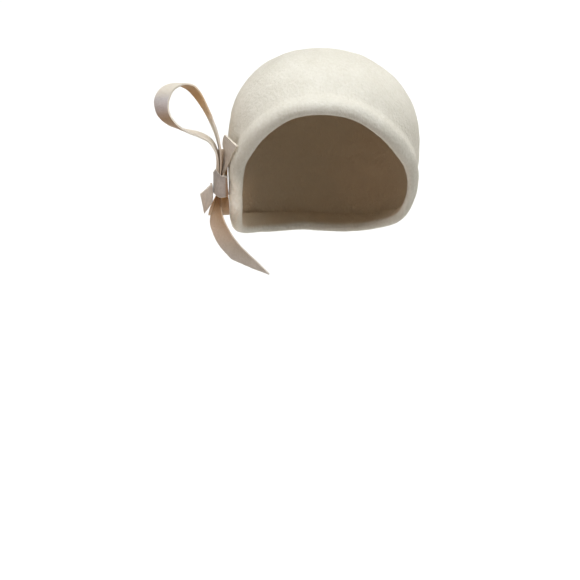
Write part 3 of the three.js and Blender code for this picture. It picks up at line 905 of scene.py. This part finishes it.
def cove_mesh(level, centre=0.6, flat=3.2, bend=1.6, wall=3.0, columns=96):
    """A round floor that turns up into a wall all round: a flat disc, a quarter circle and a wall,
    turned once about the upright axis through the hat."""
    turn = np.linspace(0, np.pi / 2, 20)
    reach = np.concatenate([[centre, flat], flat + bend * np.sin(turn[1:]), [flat + bend]])
    height = np.concatenate([[0, 0], bend * (1 - np.cos(turn[1:])), [bend + wall]]) + level
    phi = np.linspace(0, 2 * np.pi, columns, endpoint=False)[None, :]
    points = np.stack(
        [reach[:, None] * np.cos(phi), reach[:, None] * np.sin(phi), height[:, None] + 0 * phi], axis=-1
    )
    rows = len(reach)
    index = np.arange(rows * columns).reshape(rows, columns)
    near, far = index[:-1], index[1:]
    quads = np.stack([near, far, np.roll(far, -1, axis=1), np.roll(near, -1, axis=1)], axis=-1)
    mesh = bpy.data.meshes.new("studio_floor")
    mesh.from_pydata(points.reshape(-1, 3).tolist(), [], quads.reshape(-1, 4).tolist() + [index[0].tolist()])
    mesh.polygons.foreach_set("use_smooth", np.ones(len(mesh.polygons), bool))
    mesh.update()
    return mesh


def add_light(name, kind, place, target, power, colour, **shape):
    """A light at a place, turned to its target and out of sight; shape holds its kind's settings."""
    data = bpy.data.lights.new(name, kind)
    data.energy = power
    data.color = linear(colour)[:3]
    for setting, value in shape.items():
        setattr(data, setting, value)
    light = bpy.data.objects.new(name, data)
    bpy.context.scene.collection.objects.link(light)
    light.location = place
    light.visible_camera = False
    light.rotation_euler = (Vector(target) - Vector(place)).to_track_quat("-Z", "Y").to_euler()


# ---------------------------------------------------------------- settings


def colour_setting(name, description, default):
    """A setting that holds a colour as an sRGB hex value."""
    return bpy.props.StringProperty(
        name=name, description=f"{description}, as an sRGB hex value", default=default,
    )


class HatFeltSettings(bpy.types.PropertyGroup):
    """The felt of the body."""

    felt: bpy.props.FloatProperty(
        name="Felt", description="Thickness of the body's felt", default=2.4 * MM, unit="LENGTH",
    )
    columns: bpy.props.IntProperty(
        name="Columns", description="Places round the edge that carry the surface", default=400, min=48,
    )
    colour: colour_setting("Colour", "Lit felt", "#f5f1e5")
    shade: colour_setting("Shade", "Felt between the pebbles", "#e9e4d5")
    # The inside colour is painted shade: the felt inside is the same cream, darkened and warmed to stand in
    # for the deep shadow in the hat.
    inside: colour_setting("Inside", "Unbrushed felt inside the hat", "#d9c6aa")


class HatBowSettings(bpy.types.PropertyGroup):
    """The felt strips of the bow."""

    felt: bpy.props.FloatProperty(
        name="Felt", description="Thickness of the strips", default=1.7 * MM, unit="LENGTH",
    )
    # The strips' colours are greyer and darker than the body's as painted shade, for the shade the bow lies
    # in.
    colour: colour_setting("Colour", "Lit felt of the strips", "#e9e2d9")
    shade: colour_setting("Shade", "Felt between the fibres", "#dad2c7")
    # The knot's colours are painted shade: the strips' felt darkened further for the shade that falls on the
    # knot.
    knot: colour_setting("Knot", "Felt pressed in the knot", "#b4aba4")
    knot_shade: colour_setting("Knot shade", "The knot's felt between fibres", "#a1978f")
    # The warm side colour is painted warm bounce light, laid where felt faces felt in the shade.
    painted_warm_bounce: colour_setting("Warm side", "Felt against other felt", "#d6a566")
    # The deep folds colour is painted shade, laid deep in the folds, under the knot and on the knot's side
    # against the head.
    deep: colour_setting("Deep folds", "Felt deep in the folds", "#8b6238")
    cool: colour_setting("Cool shade", "Felt where the loop turns in the shade", "#cfcad2")
    # The pale edge colour is partly fresh-cut felt on the cut edges and partly painted light on edges and
    # faces that catch the light.
    pale_edge_and_painted_light: colour_setting("Pale edge", "The knife-cut edges", "#f8efdf")


class HatStageSettings(bpy.types.PropertyGroup):
    """The plain studio."""

    floor: bpy.props.FloatProperty(
        name="Floor", description="Level of the floor under the hat", default=-1.3, unit="LENGTH",
    )
    colour: colour_setting("Floor colour", "The floor's paint", "#f7f7f5")
    key: bpy.props.FloatProperty(
        name="Key light", description="Power of the large light above the front", default=10.0, unit="POWER",
    )


# ---------------------------------------------------------------- operators


class HAT_OT_body(bpy.types.Operator):
    """Builds the felt body with its rolled edge and turned-in hem"""

    bl_idname = "hat.body"
    bl_label = "Felt body"

    def execute(self, context):
        settings = context.scene.hat_felt
        grid, poles, inside = felt_body(settings.felt / MM, settings.columns)
        material = wool_felt(
            "Wool felt, blocked and steamed", settings.colour, settings.shade, pebble_mm=2.4, relief_mm=1.1,
            tints={"inside": settings.inside},
        )
        mesh = grid_mesh("felt_body", grid, {"inside": inside}, poles=poles)
        add_piece("felt_body", mesh, material, ["crown"])
        return {"FINISHED"}


class HAT_OT_bow_strips(bpy.types.Operator):
    """Builds the loop, the three short ends and the tail of the bow"""

    bl_idname = "hat.bow_strips"
    bl_label = "Bow strips"

    def execute(self, context):
        settings = context.scene.hat_bow
        thick = settings.felt / MM
        material = wool_felt(
            "Wool felt, cut in strips", settings.colour, settings.shade, pebble_mm=2.0, relief_mm=0.8,
            tints={
                "cool": settings.cool, "painted_warm_bounce": settings.painted_warm_bounce, "deep": settings.deep, "pale_edge_and_painted_light": settings.pale_edge_and_painted_light,
            },
        )
        for order, (name, (node, line, shear, held)) in enumerate(STRIPS.items(), start=1):
            points, masks = strip(
                line, thick, shear, TINTS[name], EDGES[name], COOL.get(name, NOT_COOL), seed=11 * order,
            )
            mesh = grid_mesh(name, bow_to_hat(points), masks, caps=True)
            piece = add_piece(name, mesh, material, [node])
        return {"FINISHED"}


class HAT_OT_bow_knot(bpy.types.Operator):
    """Builds the band that holds the strips together"""

    bl_idname = "hat.bow_knot"
    bl_label = "Bow knot"

    def execute(self, context):
        settings = context.scene.hat_bow
        # The knot's felt is darkened by painted shade.
        material = wool_felt(
            "Wool felt, knot in painted shade", settings.knot, settings.knot_shade, pebble_mm=2.0, relief_mm=0.7,
            tints={"deep": settings.deep, "pale_edge_and_painted_light": settings.pale_edge_and_painted_light},
        )
        points, masks = knot_band()
        mesh = grid_mesh("knot_band", bow_to_hat(points), masks, ring=True)
        add_piece("knot_band", mesh, material, ["bow_knot"])
        return {"FINISHED"}


class HAT_OT_stage(bpy.types.Operator):
    """Builds the pale floor, the soft lights and the camera"""

    bl_idname = "hat.stage"
    bl_label = "Stage"

    def execute(self, context):
        settings = context.scene.hat_stage
        scene = context.scene
        floor = bpy.data.objects.new("studio_floor", cove_mesh(settings.floor))
        scene.collection.objects.link(floor)
        floor.data.materials.append(floor_paint("Matt emulsion, rolled", settings.colour))

        for name, (place, side, share, colour, aim) in LIGHTS.items():
            add_light(name, "AREA", place, aim, settings.key * share, colour, shape="SQUARE", size=side)
        reach = (Vector(SPOT["target"]) - Vector(SPOT["place"])).length
        add_light(
            "under_knot", "SPOT", SPOT["place"], SPOT["target"], settings.key * SPOT["share"],
            SPOT["colour"], shadow_soft_size=SPOT["lamp"], spot_blend=1.0,
            spot_size=2 * math.atan(SPOT["radius"] / reach),
        )

        world = bpy.data.worlds.new("Studio air")
        scene.world = world
        world.use_nodes = True
        air = world.node_tree.nodes["Background"].inputs
        air["Color"].default_value = linear(AIR["colour"])
        air["Strength"].default_value = AIR["strength"]
        scene.view_settings.view_transform = "Standard"

        camera = bpy.data.objects.new("camera", bpy.data.cameras.new("camera"))
        scene.collection.objects.link(camera)
        camera.data.sensor_width = CAMERA["sensor"]
        camera.data.lens = CAMERA["lens"]
        camera.location = CAMERA["place"]
        camera.rotation_euler = (math.radians(90 - CAMERA["pitch"]), 0.0, math.radians(CAMERA["turn"]))
        scene.camera = camera
        return {"FINISHED"}


class HAT_PT_panel(bpy.types.Panel):
    """Shows the hat's settings and the buttons that build its pieces in the sidebar"""

    bl_label = "Felt cloche hat"
    bl_idname = "HAT_PT_panel"
    bl_space_type = "VIEW_3D"
    bl_region_type = "UI"
    bl_category = "Hat"

    def draw(self, context):
        for name, group in GROUPS.items():
            box = self.layout.box()
            for setting in group.__annotations__:
                box.prop(getattr(context.scene, name), setting)
        for operator in OPERATORS:
            self.layout.operator(operator.bl_idname)


GROUPS = {
    "hat_felt": HatFeltSettings,
    "hat_bow": HatBowSettings,
    "hat_stage": HatStageSettings,
}
OPERATORS = (HAT_OT_body, HAT_OT_bow_knot, HAT_OT_bow_strips, HAT_OT_stage)


def register():
    for made in (*GROUPS.values(), *OPERATORS, HAT_PT_panel):
        bpy.utils.register_class(made)
    for name, group in GROUPS.items():
        setattr(bpy.types.Scene, name, bpy.props.PointerProperty(type=group))


def unregister():
    for name in GROUPS:
        delattr(bpy.types.Scene, name)
    for made in reversed((*GROUPS.values(), *OPERATORS, HAT_PT_panel)):
        bpy.utils.unregister_class(made)


def main():
    register()
    bpy.ops.hat.body()
    bpy.ops.hat.bow_knot()
    bpy.ops.hat.bow_strips()
    bpy.ops.hat.stage()


if __name__ == "__main__":
    main()
